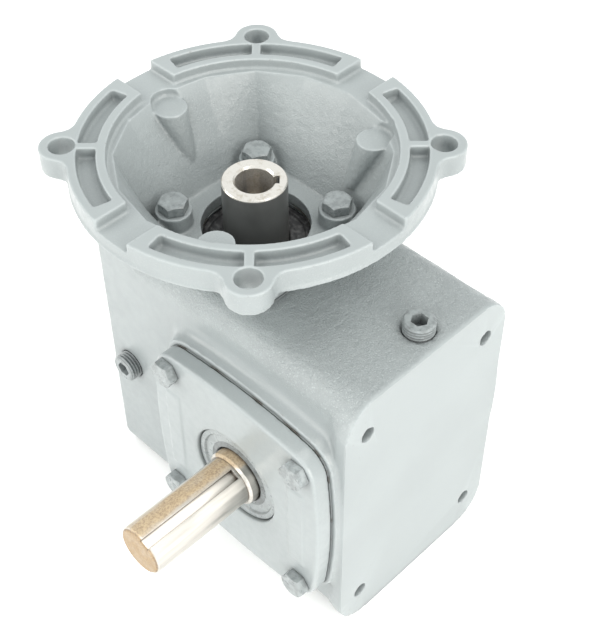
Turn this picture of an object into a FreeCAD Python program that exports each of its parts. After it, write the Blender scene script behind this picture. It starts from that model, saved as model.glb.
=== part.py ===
import FreeCAD, Part
import math
import os

import Sketcher

# A right-angle worm gear reducer. The driving motor bolts to the round flange on top and
# its shaft goes down into the hollow worm shaft. The worm turns a bronze wheel, and the
# wheel's shaft leaves the housing sideways, through the output cover.
#
# Frame: the origin is where the input axis meets the base of the housing. +Z runs up the
# input axis to the motor flange, -Y runs out along the output shaft, and +X points to the
# machined mounting face with its four tapped holes. Lengths are millimetres.
#
# Pieces on the output axis are drawn along their own Z, and their placement turns that Z
# to -Y. Pieces on the input axis are drawn where they are.

DIMENSIONS = (
    # housing
    ("box_left", 53, "input axis to the plain end wall"),
    ("box_right", 96, "input axis to the machined mounting face"),
    ("box_half_depth", 43.6, "half the housing, along the output shaft"),
    ("box_height", 143, "base to top of the housing"),
    ("box_round", 10, "rounding of the long edges"),
    ("rim_half_depth", 47.5, "half width of the mounting face"),
    ("rim_round", 16.5, "corner radius of the mounting face"),
    ("rim_thickness", 5, "straight part of the rim round the mounting face"),
    ("rim_flare", 7, "length over which the sides flare out to the rim"),
    ("cavity_left", 45, "input axis to the inner face of the plain end wall"),
    ("cavity_right", 88, "input axis to the inner face of the mounting wall"),
    ("cavity_half_depth", 33, "half the gear chamber"),
    ("cavity_floor", 11, "base to the chamber's floor"),
    ("cavity_roof", 131, "base to the chamber's roof"),
    ("bridge_top_half", 31, "half width of the upper bearing bridge"),
    ("bridge_top_base", 112, "underside of the upper bearing bridge"),
    ("bridge_low_half", 28, "half width of the lower bearing bridge"),
    ("bridge_low_top", 30, "top of the lower bearing bridge"),
    ("mount_hole_radius", 3.3, "tapped holes in the mounting face"),
    ("mount_hole_depth", 16, "tapped holes in the mounting face"),
    ("mount_hole_apart", 69.85, "tapped holes, across"),
    ("mount_hole_low", 17.4, "lower tapped holes above the base"),
    ("mount_hole_rise", 107, "tapped holes, up"),
    # gear pair
    ("centre_distance", 44.45, "input axis to output axis"),
    ("shaft_height", 73, "base to output axis"),
    ("wheel_teeth", 30, "teeth on the worm wheel"),
    ("wheel_pitch_radius", 31.75, "worm wheel"),
    ("wheel_half_face", 8, "worm wheel"),
    ("wheel_hub_radius", 21, "worm wheel"),
    ("wheel_hub_half", 14, "half the length of the wheel's hub"),
    ("worm_half_length", 25, "threaded part of the worm"),
    ("gear_backlash", 0.3, "gap along the pitch line"),
    ("pressure_angle", 20, "degrees, in the worm's axial plane"),
    # covers
    ("pad_face", 50, "mid plane to the machined cover pads"),
    ("pad_margin", 1.8, "pad outline beyond the cover"),
    ("pad_blend", 5, "reach of the blend round the foot of a pad"),
    ("cover_reach", 48.3, "output axis to the middle of a cover's side"),
    ("cover_corner_at", 33.5, "output axis to a corner's centre, each way"),
    ("cover_corner", 12.5, "corner radius"),
    ("gasket_thickness", 0.5, "paper gaskets"),
    ("cover_thickness", 8, "output cover plate"),
    ("rear_cover_thickness", 4, "rear cover plate"),
    ("pilot_radius", 40, "covers' spigots and housing bores"),
    ("pilot_length", 5, "covers' spigots"),
    ("hub_radius", 31, "bearing housings on the covers"),
    ("hub_reach", 35.8, "mid plane to the inner end of the bearing housings"),
    ("cover_bolt_at", 37.2, "output axis to a cover bolt, each way"),
    ("label_width", 8, "blank raised label pads on the cover"),
    ("label_length", 47, "blank raised label pads"),
    ("label_height", 0.6, "blank raised label pads"),
    ("label_at", 36, "output axis to the label pads"),
    # output shaft
    ("output_radius", 11.11, "output shaft, 7/8 inch"),
    ("output_end", 110, "mid plane to the end of the output shaft"),
    ("output_shoulder", 60.8, "mid plane to the seal journal's end"),
    ("journal_radius", 12.7, "seal and bearing journals, 1 inch"),
    ("wheel_seat_radius", 14.3, "seat of the worm wheel"),
    ("wheel_collar_radius", 17, "collar beside the wheel"),
    ("rear_journal_end", 48, "mid plane to the shaft's inner end"),
    ("key_width", 4.76, "3/16 inch keys and keyways"),
    ("key_depth", 2.4, "keyway depth in a shaft"),
    ("output_key_length", 48, "keyway from the output end"),
    ("keyway_turn", 64, "degrees from +X to the output keyway"),
    # output bearings and seal
    ("output_race_radius", 25.4, "output bearings, outside"),
    ("output_race_width", 12.7, "output bearings"),
    ("output_ball_radius", 3.97, "output bearings"),
    ("output_seal_radius", 22.9, "output seal, outside"),
    ("seal_width", 7, "oil seals"),
    ("seal_recess", 1.8, "output seal below the cover's face"),
    # input shaft and its bearings
    ("sleeve_radius", 13.5, "hollow end of the worm shaft"),
    ("sleeve_top", 172, "base to the top of the worm shaft"),
    ("bore_radius", 7.94, "motor shaft bore, 5/8 inch"),
    ("bore_bottom", 128, "base to the bottom of the motor bore"),
    ("bore_key_depth", 2.15, "keyway beyond the bore's wall"),
    ("upper_journal_radius", 15, "worm shaft"),
    ("upper_race_radius", 23.5, "upper bearing, outside"),
    ("upper_race_width", 9, "upper bearing"),
    ("upper_race_base", 121, "base to the upper bearing"),
    ("upper_ball_radius", 2.4, "upper bearing"),
    ("input_seal_base", 134.5, "base to the input seal"),
    ("worm_core_radius", 10.02, "worm shaft between the thread's turns"),
    ("lower_journal_radius", 8.5, "worm shaft"),
    ("lower_race_radius", 20, "lower bearing, outside"),
    ("lower_race_width", 12, "lower bearing"),
    ("lower_race_base", 16, "base to the lower bearing"),
    ("lower_ball_radius", 3.4, "lower bearing"),
    ("ball_count", 9, "balls in each bearing"),
    ("bore_cap_height", 6, "pressed cap in the base"),
    ("ring_thickness", 1.8, "retaining rings"),
    # motor flange
    ("flange_face", 190, "base to the motor's mating face"),
    ("flange_radius", 72.5, "flange ring"),
    ("flange_thickness", 11, "flange ring"),
    ("register_radius", 57.15, "motor register, 4.5 inch"),
    ("register_depth", 4.5, "motor register"),
    ("ear_circle", 74.61, "motor bolt circle, radius"),
    ("ear_radius", 9.3, "bolt ears"),
    ("ear_hole_radius", 5.16, "bolt ears"),
    ("neck_radius", 7, "hollow on each side of a bolt ear"),
    ("gap_width", 17, "gaps between the raised segments"),
    ("pocket_inner", 61.2, "lightening pockets"),
    ("pocket_outer", 68.6, "lightening pockets"),
    ("pocket_depth", 5, "lightening pockets"),
    ("pocket_half_angle", 32, "degrees each side of an ear"),
    ("rib_width", 4, "rib from an ear to the inner lip"),
    ("bell_floor", 149.5, "base to the floor inside the bell"),
    ("bell_top_radius", 55, "inside of the bell at its top, all round"),
    ("bell_low_side", 30, "inside of the bell at the floor, middle of a side"),
    ("bell_low_corner", 43.5, "inside of the bell at the floor, on the diagonals"),
    ("bell_wall_top", 3.5, "wall of the bell at its top"),
    ("bell_wall_low", 3.9, "wall of the bell at the floor"),
    ("base_half", 34, "half width of the flange's foot"),
    ("base_round", 10, "corner radius of the flange's foot"),
    ("base_thickness", 8, "flange's foot"),
    ("throat_radius", 22.6, "opening round the worm shaft"),
    ("foot_bolt_at", 23.6, "input axis to a flange bolt, each way"),
    ("foot_boss_radius", 7.8, "bosses under the flange bolts"),
    ("foot_boss_height", 7.5, "bosses under the flange bolts"),
    ("post_circle", 50, "three cast posts, tops, distance from the input axis"),
    ("post_radius", 7.5, "three cast posts, tops"),
    ("post_top", 182, "base to the top of the cast posts"),
    ("post_foot_circle", 40, "three cast posts, feet, distance from the input axis"),
    ("post_foot_radius", 3, "three cast posts, feet"),
    ("post_bottom", 160, "base to the foot of the cast posts"),
    # fasteners and plugs
    ("head_flats", 11.11, "bolt heads across flats, 7/16 inch"),
    ("head_height", 4.4, "bolt heads"),
    ("shank_radius", 3.1, "bolts, 1/4 inch"),
    ("tapped_radius", 3.15, "holes that the bolts screw into"),
    ("clearance_radius", 3.5, "holes that the bolts pass through"),
    ("bolt_length", 19, "bolts under the head"),
    ("tapped_depth", 15, "holes that the bolts screw into"),
    ("plug_radius", 6.7, "pipe plugs"),
    ("plug_root_radius", 6.0, "pipe plugs"),
    ("plug_pitch", 1.41, "pipe plugs"),
    ("plug_length", 14, "pipe plugs"),
    ("plug_stand_out", 5, "pipe plugs above the casting"),
    ("plug_socket_flats", 6.35, "pipe plugs' hexagon socket"),
    ("plug_socket_depth", 6, "pipe plugs' hexagon socket"),
    ("fill_plug_x", 84, "plug in the top"),
    ("fill_plug_y", 6, "plug in the top"),
    ("side_plug_x", 40, "plugs in the sides, towards the plain end"),
    ("side_plug_height", 66, "plugs in the sides"),
    ("drain_plug_height", 20, "plug in the plain end"),
)

FULL_TURN = 360
QUARTER_TURN = 90
CORNER_COUNT = 4
BELL_SIDES = 16
POST_COUNT = 3
RUNNING_GAP = 0.15  # between pieces that turn on one another
FIT_GAP = 0.02  # between pieces pressed or slid together
INCLINE = math.sqrt(0.5)

doc = FreeCAD.newDocument("worm_gear_reducer")
sheet = doc.addObject("Spreadsheet::Sheet", "Dims")
for row, (alias, number, note) in enumerate(DIMENSIONS, start=1):
    sheet.set("A%d" % row, note)
    sheet.set("B%d" % row, str(number))
    sheet.setAlias("B%d" % row, alias)
doc.recompute()


class Size:
    """A length with its value and the sheet expression that drives it."""

    def __init__(self, value, text):
        self.value = value
        self.text = text

    def __add__(self, other):
        other = as_size(other)
        return Size(self.value + other.value, "(%s + %s)" % (self.text, other.text))

    def __sub__(self, other):
        other = as_size(other)
        return Size(self.value - other.value, "(%s - %s)" % (self.text, other.text))

    def __mul__(self, other):
        other = as_size(other)
        return Size(self.value * other.value, "(%s * %s)" % (self.text, other.text))

    def __truediv__(self, other):
        other = as_size(other)
        return Size(self.value / other.value, "(%s / %s)" % (self.text, other.text))

    def __rsub__(self, other):
        return as_size(other) - self

    def __neg__(self):
        return Size(-self.value, "(0 - %s)" % self.text)

    __radd__ = __add__
    __rmul__ = __mul__


def as_size(value):
    return value if isinstance(value, Size) else Size(value, repr(value))


class Dimensions:
    """The sheet's cells, read by name."""

    def __getattr__(self, alias):
        return Size(float(sheet.get(alias)), "Dims." + alias)


dim = Dimensions()


# ---------------------------------------------------------------- building blocks


def bind(thing, name, size):
    """Set a property from a size and keep it tied to the sheet."""
    size = as_size(size)
    thing.setExpression(name, size.text)


def new_body(label):
    return doc.addObject("PartDesign::Body", label)


def plane_sketch(body, name, role="XY_Plane", offset=0):
    """A sketch on one of the body's own planes, moved along the plane's normal."""
    sketch = body.newObject("Sketcher::SketchObject", body.Label + "_" + name)
    plane = next(f for f in body.Origin.OriginFeatures if f.Role == role)
    sketch.AttachmentSupport = (plane, "")
    sketch.MapMode = "FlatFace"
    bind(sketch, "AttachmentOffset.Base.z", offset)
    return sketch


def pin_point(sketch, edge, end, x, y):
    """Fix a point of a sketch at a bound position."""
    for kind, axis, size in (("DistanceX", -2, x), ("DistanceY", -1, y)):
        size = as_size(size)
        if size.value == 0:
            sketch.addConstraint(Sketcher.Constraint("PointOnObject", edge, end, axis))
        else:
            constraint = Sketcher.Constraint(kind, -1, 1, edge, end, size.value)
            index = sketch.addConstraint(constraint)
            bind(sketch, "Constraints[%d]" % index, size)


def set_radius(sketch, edge, radius):
    radius = as_size(radius)
    index = sketch.addConstraint(Sketcher.Constraint("Radius", edge, radius.value))
    bind(sketch, "Constraints[%d]" % index, radius)


def draw_outline(sketch, points):
    """A closed outline of straight edges through bound points."""
    first = sketch.GeometryCount
    count = len(points)
    corners = [FreeCAD.Vector(as_size(x).value, as_size(y).value, 0) for x, y in points]
    for i in range(count):
        sketch.addGeometry(Part.LineSegment(corners[i], corners[(i + 1) % count]), False)
    for i in range(count):
        following = first + (i + 1) % count
        sketch.addConstraint(Sketcher.Constraint("Coincident", first + i, 2, following, 1))
    for i, (x, y) in enumerate(points):
        pin_point(sketch, first + i, 1, x, y)


def draw_circle(sketch, x, y, radius):
    centre = FreeCAD.Vector(as_size(x).value, as_size(y).value, 0)
    circle = Part.Circle(centre, FreeCAD.Vector(0, 0, 1), as_size(radius).value)
    edge = sketch.addGeometry(circle, False)
    pin_point(sketch, edge, 3, x, y)
    set_radius(sketch, edge, radius)


def draw_rectangle(sketch, left, right, low, high):
    draw_outline(sketch, ((left, low), (right, low), (right, high), (left, high)))


def draw_rounded_rectangle(sketch, half_width, height, radius):
    """Straight sides joined by tangent corner arcs, standing on the sketch's X axis."""
    normal = FreeCAD.Vector(0, 0, 1)
    right, top, round_off = half_width.value, height.value, radius.value
    elbows = ((half_width - radius, height - radius), (radius - half_width, height - radius),
              (radius - half_width, radius), (half_width - radius, radius))
    ends = (((right - round_off, top), (round_off - right, top)),
            ((-right, top - round_off), (-right, round_off)),
            ((round_off - right, 0), (right - round_off, 0)),
            ((right, round_off), (right, top - round_off)))
    for quarter in range(CORNER_COUNT):
        centre = FreeCAD.Vector(elbows[quarter][0].value, elbows[quarter][1].value, 0)
        begin = math.radians(QUARTER_TURN * quarter)
        arc = Part.ArcOfCircle(Part.Circle(centre, normal, round_off), begin, begin + math.pi / 2)
        sketch.addGeometry(arc, False)
        start, stop = (FreeCAD.Vector(x, y, 0) for x, y in ends[quarter])
        sketch.addGeometry(Part.LineSegment(start, stop), False)
    edges = 2 * CORNER_COUNT
    for edge in range(edges):
        following = (edge + 1) % edges
        sketch.addConstraint(Sketcher.Constraint("Tangent", edge, 2, following, 1))
    for quarter, (x, y) in enumerate(elbows):
        pin_point(sketch, 2 * quarter, 3, x, y)
        set_radius(sketch, 2 * quarter, radius)


def draw_hexagon(sketch, flats):
    corner = flats * (1 / math.sqrt(3))
    draw_outline(sketch, [
        (corner * math.cos(math.radians(60 * i)), corner * math.sin(math.radians(60 * i)))
        for i in range(6)
    ])


def draw_bell_section(sketch, side, between, corner):
    """Sixteen straight sides, with each corner's reach on and between axes and diagonals."""
    reaches = (side, between, corner, between)
    points = []
    for i in range(BELL_SIDES):
        angle = 2 * math.pi * i / BELL_SIDES
        reach = as_size(reaches[i % 4])
        cos, sin = round(math.cos(angle), 9), round(math.sin(angle), 9)
        points.append((reach * cos, reach * sin))
    draw_outline(sketch, points)


def draw_cover_outline(sketch, margin=0):
    """A square with round corners and sides that bulge a little, as tangent arcs."""
    at = dim.cover_corner_at
    corner = dim.cover_corner + margin
    reach = dim.cover_reach + margin
    slack = reach - at - corner
    side = (at * at + (reach - at) * (reach - at) - corner * corner) / (2 * slack)
    middle = side - reach
    swing = math.atan2(at.value, at.value + middle.value)
    normal = FreeCAD.Vector(0, 0, 1)
    for quarter in range(CORNER_COUNT):
        turn = math.radians(QUARTER_TURN * quarter)
        cos, sin = round(math.cos(turn)), round(math.sin(turn))
        centre = FreeCAD.Vector(-middle.value * cos, -middle.value * sin, 0)
        circle = Part.Circle(centre, normal, side.value)
        sketch.addGeometry(Part.ArcOfCircle(circle, turn - swing, turn + swing), False)
        elbow = FreeCAD.Vector(at.value * (cos - sin), at.value * (sin + cos), 0)
        circle = Part.Circle(elbow, normal, corner.value)
        begin, end = turn + swing, turn + math.pi / 2 - swing
        sketch.addGeometry(Part.ArcOfCircle(circle, begin, end), False)
    edges = 2 * CORNER_COUNT
    for edge in range(edges):
        following = (edge + 1) % edges
        sketch.addConstraint(Sketcher.Constraint("Tangent", edge, 2, following, 1))
    for quarter in range(CORNER_COUNT):
        turn = math.radians(QUARTER_TURN * quarter)
        cos, sin = round(math.cos(turn)), round(math.sin(turn))
        pin_point(sketch, 2 * quarter + 1, 3, at * (cos - sin), at * (sin + cos))
        set_radius(sketch, 2 * quarter + 1, corner)
        set_radius(sketch, 2 * quarter, side)


def add_pad(body, sketch, length, symmetric=False):
    feature = body.newObject("PartDesign::Pad", sketch.Name + "_pad")
    feature.Profile = sketch
    feature.Midplane = symmetric
    bind(feature, "Length", length)
    return feature


def add_pocket(body, sketch, length, along_normal=True, symmetric=False):
    feature = body.newObject("PartDesign::Pocket", sketch.Name + "_pocket")
    feature.Profile = sketch
    feature.Reversed = along_normal
    feature.Midplane = symmetric
    bind(feature, "Length", length)
    return feature


def add_turned(body, sketch, cut=False):
    """Turn a sketch of radius and height about the sketch's upright axis."""
    kind = "Groove" if cut else "Revolution"
    feature = body.newObject("PartDesign::" + kind, sketch.Name + "_" + kind.lower())
    feature.Profile = sketch
    feature.ReferenceAxis = (sketch, ["V_Axis"])
    feature.Angle = FULL_TURN
    return feature


def add_loft(body, low, high, cut=False):
    kind = "PartDesign::SubtractiveLoft" if cut else "PartDesign::AdditiveLoft"
    feature = body.newObject(kind, low.Name + "_loft")
    feature.Profile = low
    feature.Sections = [high]
    feature.Ruled = True
    return feature


def add_polar(body, feature, sketch, count=CORNER_COUNT):
    """Repeat a feature about the normal of its sketch's plane through the origin."""
    pattern = body.newObject("PartDesign::PolarPattern", feature.Name + "_polar")
    pattern.Originals = [feature]
    pattern.Axis = (sketch, ["N_Axis"])
    pattern.Angle = FULL_TURN
    pattern.Occurrences = count
    body.Tip = pattern
    return pattern


def add_fillet(body, radius, wanted):
    """Round the edges of the body's present shape that `wanted` picks."""
    doc.recompute()
    base = body.Tip
    names = ["Edge%d" % (i + 1) for i, edge in enumerate(base.Shape.Edges) if wanted(edge)]
    feature = body.newObject("PartDesign::Fillet", base.Name + "_fillet")
    feature.Base = (base, names)
    bind(feature, "Radius", radius)
    doc.recompute()
    return feature


def turned_body(label, profile):
    """A body turned from one outline of (radius, height) points."""
    body = new_body(label)
    sketch = plane_sketch(body, "profile", "XZ_Plane")
    draw_outline(sketch, profile)
    add_turned(body, sketch)
    return body


def ring_profile(inner, outer, low, high):
    return ((inner, low), (outer, low), (outer, high), (inner, high))


def at_output_axis(thing, reach, rear=False):
    """Place a piece on the output axis, its own Z pointing out of the output side."""
    turn = -QUARTER_TURN if rear else QUARTER_TURN
    sign = 1 if rear else -1
    thing.Placement.Rotation = FreeCAD.Rotation(FreeCAD.Vector(1, 0, 0), turn)
    bind(thing, "Placement.Base.x", dim.centre_distance)
    bind(thing, "Placement.Base.y", as_size(reach) * sign)
    bind(thing, "Placement.Base.z", dim.shaft_height)
    return thing


def mirrored(name, source, normal):
    mirror = doc.addObject("Part::Mirroring", name)
    mirror.Source = source
    mirror.Normal = normal
    return mirror


def four_corners(label, source):
    """A group of four: the source and its copies mirrored in the X and Y planes."""
    across = mirrored(label + "_across", source, FreeCAD.Vector(1, 0, 0))
    pair = doc.addObject("Part::Compound", label + "_pair")
    pair.Links = [source, across]
    behind = mirrored(label + "_behind", pair, FreeCAD.Vector(0, 1, 0))
    group = doc.addObject("Part::Compound", label)
    group.Links = [pair, behind]
    return group


# ---------------------------------------------------------------- housing


def box_section(body, name, place):
    """The housing seen along X, at a distance from the input axis."""
    sketch = plane_sketch(body, name, "YZ_Plane", place)
    draw_rounded_rectangle(sketch, dim.box_half_depth, dim.box_height, dim.box_round)
    return sketch


def rim_section(body, name, place):
    """The rim round the mounting face: wider than the box, with rounder corners."""
    sketch = plane_sketch(body, name, "YZ_Plane", place)
    draw_rounded_rectangle(sketch, dim.rim_half_depth, dim.box_height, dim.rim_round)
    return sketch


def bore_profile():
    """The stepped bore round the worm shaft, from the base to the top."""
    lower_top = dim.lower_race_base + dim.lower_race_width
    upper = dim.upper_race_radius + FIT_GAP
    lower = dim.lower_race_radius + FIT_GAP
    groove = dim.ring_thickness
    snap_low = dim.lower_race_base - groove
    snap_high = dim.upper_race_base + dim.upper_race_width
    chamber = dim.sleeve_radius + 4.5
    return (
        (0, -1), (lower, -1), (lower, snap_low), (lower + 1.2, snap_low),
        (lower + 1.2, dim.lower_race_base), (lower, dim.lower_race_base),
        (lower, lower_top), (chamber - 2, lower_top),
        (chamber - 2, dim.bridge_low_top - FIT_GAP), (chamber + 3, dim.bridge_low_top + 6),
        (chamber + 3, dim.bridge_top_base - 2), (chamber + 2, dim.upper_race_base),
        (upper, dim.upper_race_base), (upper, snap_high), (upper + 1.3, snap_high),
        (upper + 1.3, snap_high + groove), (upper, snap_high + groove),
        (upper, dim.box_height + 1), (0, dim.box_height + 1),
    )


def draw_cavity(sketch):
    """The gear chamber seen from the side, stepped round the two bearing bridges."""
    top, low = dim.bridge_top_half, dim.bridge_low_half
    draw_outline(sketch, (
        (-dim.cavity_left, dim.cavity_floor), (-low, dim.cavity_floor),
        (-low, dim.bridge_low_top), (low, dim.bridge_low_top), (low, dim.cavity_floor),
        (dim.cavity_right, dim.cavity_floor), (dim.cavity_right, dim.cavity_roof),
        (top, dim.cavity_roof), (top, dim.bridge_top_base), (-top, dim.bridge_top_base),
        (-top, dim.cavity_roof), (-dim.cavity_left, dim.cavity_roof),
    ))


def blend_section(body, name, height, margin):
    """A cover outline drawn in the housing's side view, `height` out from its middle."""
    sketch = plane_sketch(body, name, "XY_Plane", height)
    draw_cover_outline(sketch, margin)
    return sketch


def make_pad_blend(side):
    """A raised cover pad with a hollow blend round its foot, drawn along its own Z."""
    body = new_body("cover_pad_" + side)
    foot = dim.box_half_depth - 1
    reach = dim.pad_blend
    rise = (0, 0.12, 0.4, 1)
    spread = (1, 0.55, 0.2, 0)
    sections = []
    for step, (up, out) in enumerate(zip(rise, spread)):
        height = foot + 1 + (reach * up)
        sections.append(blend_section(body, "foot%d" % step, height, dim.pad_margin + reach * out))
    for low, high in zip(sections, sections[1:]):
        add_loft(body, low, high)
    add_pad(body, blend_section(body, "root", foot, dim.pad_margin + reach), 1.05)
    face = blend_section(body, "face", dim.box_half_depth + reach, dim.pad_margin)
    add_pad(body, face, dim.pad_face - dim.box_half_depth - reach)
    at_output_axis(body, 0, rear=side == "rear")
    return body


def make_housing_block():
    """The casting's outside: the box, the flare up to the mounting face and its rim."""
    body = new_body("housing_block")
    rim_back = dim.box_right - dim.rim_thickness
    flare_start = rim_back - dim.rim_flare
    add_pad(body, box_section(body, "section", -dim.box_left), flare_start + dim.box_left)
    narrow = box_section(body, "narrow", flare_start)
    add_loft(body, narrow, rim_section(body, "wide", rim_back))
    add_pad(body, rim_section(body, "rim", rim_back), dim.rim_thickness)
    return body


def tool_cylinder(name, radius, length, base, direction):
    """A cutting cylinder that starts at a bound point and runs along a direction."""
    tool = doc.addObject("Part::Cylinder", name)
    bind(tool, "Radius", radius)
    bind(tool, "Height", length)
    tool.Placement.Rotation = FreeCAD.Rotation(FreeCAD.Vector(0, 0, 1), direction)
    for axis, place in zip("xyz", base):
        bind(tool, "Placement.Base." + axis, place)
    return tool


def mount_hole_tools():
    tools = []
    half = dim.mount_hole_apart / 2
    for row, height in enumerate((dim.mount_hole_low, dim.mount_hole_low + dim.mount_hole_rise)):
        for column, across in enumerate((-half, half)):
            base = (dim.box_right + 1, across, height)
            name = "mount_hole_%d%d" % (row, column)
            length = dim.mount_hole_depth + 1
            tools.append(tool_cylinder(name, dim.mount_hole_radius, length, base,
                                       FreeCAD.Vector(-1, 0, 0)))
    return tools


def cover_hole_tools():
    """Tapped holes for the bolts of both covers."""
    tools = []
    for side, sign in (("front", -1), ("rear", 1)):
        for corner in range(CORNER_COUNT):
            right = 1 if corner % 2 else -1
            up = 1 if corner > 1 else -1
            base = (dim.centre_distance + dim.cover_bolt_at * right,
                    (dim.pad_face + 1) * sign,
                    dim.shaft_height + dim.cover_bolt_at * up)
            tools.append(tool_cylinder("%s_tapped_%d" % (side, corner), dim.tapped_radius,
                                       dim.tapped_depth + 1, base, FreeCAD.Vector(0, -sign, 0)))
    return tools


def foot_hole_tools():
    tools = []
    for corner in range(CORNER_COUNT):
        right = 1 if corner % 2 else -1
        back = 1 if corner > 1 else -1
        base = (dim.foot_bolt_at * right, dim.foot_bolt_at * back, dim.box_height + 1)
        tools.append(tool_cylinder("foot_tapped_%d" % corner, dim.tapped_radius,
                                   dim.tapped_depth + 1, base, FreeCAD.Vector(0, 0, -1)))
    return tools


def plug_places():
    """Each pipe plug: its name, the point where its axis meets the casting, outwards."""
    half = dim.box_half_depth
    return (
        ("fill_plug", (dim.fill_plug_x, dim.fill_plug_y, dim.box_height), (0, 0, 1)),
        ("front_level_plug", (-dim.side_plug_x, -half, dim.side_plug_height), (0, -1, 0)),
        ("rear_level_plug", (-dim.side_plug_x, half, dim.side_plug_height), (0, 1, 0)),
        ("drain_plug", (-dim.box_left, 0, dim.drain_plug_height), (-1, 0, 0)),
    )


def plug_hole_tools():
    tools = []
    for name, place, outwards in plug_places():
        base = [as_size(p) + sign for p, sign in zip(place, outwards)]
        inwards = -FreeCAD.Vector(*outwards)
        tools.append(tool_cylinder(name + "_hole", dim.plug_radius + FIT_GAP,
                                   dim.plug_length - 1, base, inwards))
    return tools


def make_chamber():
    """The hollow inside: gear chamber, worm bore and the bore across for the wheel."""
    body = new_body("chamber")
    cavity = plane_sketch(body, "cavity", "XZ_Plane")
    draw_cavity(cavity)
    add_pad(body, cavity, dim.cavity_half_depth * 2, symmetric=True)
    bore = plane_sketch(body, "bore", "XZ_Plane")
    draw_outline(bore, bore_profile())
    add_turned(body, bore)
    across = plane_sketch(body, "across", "XZ_Plane")
    draw_circle(across, dim.centre_distance, dim.shaft_height, dim.pilot_radius + FIT_GAP)
    add_pad(body, across, dim.pad_face * 2 + 2, symmetric=True)
    return body


def make_housing():
    """The casting: block and pads joined, then everything hollow cut out of it."""
    trimmed = doc.addObject("Part::Box", "beyond_mounting_face")
    bind(trimmed, "Length", 20)
    bind(trimmed, "Width", 200)
    bind(trimmed, "Height", 200)
    bind(trimmed, "Placement.Base.x", dim.box_right)
    bind(trimmed, "Placement.Base.y", -100)
    bind(trimmed, "Placement.Base.z", -20)
    outside = doc.addObject("Part::MultiFuse", "casting_outside")
    outside.Shapes = [make_housing_block(), make_pad_blend("front"), make_pad_blend("rear")]
    hollow = doc.addObject("Part::MultiFuse", "casting_hollow")
    hollow.Shapes = ([trimmed, make_chamber()] + mount_hole_tools() + cover_hole_tools()
                     + foot_hole_tools() + plug_hole_tools())
    housing = doc.addObject("Part::Cut", "housing")
    housing.Base = outside
    housing.Tool = hollow
    return housing


# ---------------------------------------------------------------- motor flange


def draw_sector(sketch, inner, outer, half_angle):
    """A closed sector of a ring, centred on the diagonal between +X and +Y."""
    middle = math.radians(45)
    swing = math.radians(half_angle.value)
    normal = FreeCAD.Vector(0, 0, 1)
    begin, end = middle - swing, middle + swing
    for radius in (inner, outer):
        circle = Part.Circle(FreeCAD.Vector(0, 0, 0), normal, radius.value)
        sketch.addGeometry(Part.ArcOfCircle(circle, begin, end), False)
    points = [[FreeCAD.Vector(r.value * math.cos(a), r.value * math.sin(a), 0)
               for r in (inner, outer)] for a in (begin, end)]
    for start, stop in points:
        sketch.addGeometry(Part.LineSegment(start, stop), False)
    for edge, (a, b) in enumerate((((0, 1), (2, 1)), ((2, 2), (1, 1)),
                                   ((0, 2), (3, 1)), ((3, 2), (1, 2)))):
        sketch.addConstraint(Sketcher.Constraint("Coincident", a[0], a[1], b[0], b[1]))
    for edge, radius in ((0, inner), (1, outer)):
        sketch.addConstraint(Sketcher.Constraint("Coincident", edge, 3, -1, 1))
        set_radius(sketch, edge, radius)
    for edge, angle in ((2, begin), (3, end)):
        side = Sketcher.Constraint("Angle", -1, edge, angle)
        sketch.addConstraint(side)
        sketch.addConstraint(Sketcher.Constraint("PointOnObject", -1, 1, edge))


def is_foot_corner(edge):
    """Upright edges at the corners of the flange's square foot."""
    box = edge.BoundBox
    corner = dim.base_half.value
    upright = box.XLength < 1e-3 and box.YLength < 1e-3
    return upright and abs(abs(box.XMin) - corner) < 1e-3 and abs(abs(box.YMin) - corner) < 1e-3


def draw_ear(sketch):
    """An ear on the diagonal, joined to the ring by a hollow arc on each side."""
    ring, neck = dim.flange_radius, dim.neck_radius
    reach, far = dim.ear_circle.value, (ring + neck).value
    near = (dim.ear_radius + neck).value
    lean = math.acos((far * far + reach * reach - near * near) / (2 * far * reach))
    swing = math.atan2(far * math.sin(lean), far * math.cos(lean) - reach)
    middle = math.radians(45)
    normal = FreeCAD.Vector(0, 0, 1)

    def on_ring(angle):
        return (ring * math.cos(middle + angle), ring * math.sin(middle + angle))

    def neck_centre(angle):
        return ((ring + neck) * math.cos(middle + angle), (ring + neck) * math.sin(middle + angle))

    def arc(centre, radius, begin, end):
        place = FreeCAD.Vector(as_size(centre[0]).value, as_size(centre[1]).value, 0)
        circle = Part.Circle(place, normal, radius.value)
        return Part.ArcOfCircle(circle, middle + begin, middle + end)

    at = dim.ear_circle * INCLINE
    sketch.addGeometry(arc((at, at), dim.ear_radius, -swing, swing), False)
    sketch.addGeometry(arc(neck_centre(lean), neck, math.pi + lean, math.pi + swing), False)
    start, stop = (FreeCAD.Vector(*(c.value for c in on_ring(a)), 0) for a in (lean, -lean))
    sketch.addGeometry(Part.LineSegment(start, stop), False)
    sketch.addGeometry(arc(neck_centre(-lean), neck, math.pi - swing, math.pi - lean), False)
    sketch.addConstraint(Sketcher.Constraint("Tangent", 0, 2, 1, 2))
    sketch.addConstraint(Sketcher.Constraint("Coincident", 1, 1, 2, 1))
    sketch.addConstraint(Sketcher.Constraint("Coincident", 2, 2, 3, 2))
    sketch.addConstraint(Sketcher.Constraint("Tangent", 3, 1, 0, 1))
    pin_point(sketch, 0, 3, at, at)
    set_radius(sketch, 0, dim.ear_radius)
    pin_point(sketch, 1, 3, *neck_centre(lean))
    pin_point(sketch, 3, 3, *neck_centre(-lean))
    for end, angle in ((1, lean), (2, -lean)):
        place = on_ring(angle)[0]
        pin = Sketcher.Constraint("DistanceX", -1, 1, 2, end, place.value)
        bind(sketch, "Constraints[%d]" % sketch.addConstraint(pin), place)


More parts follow.
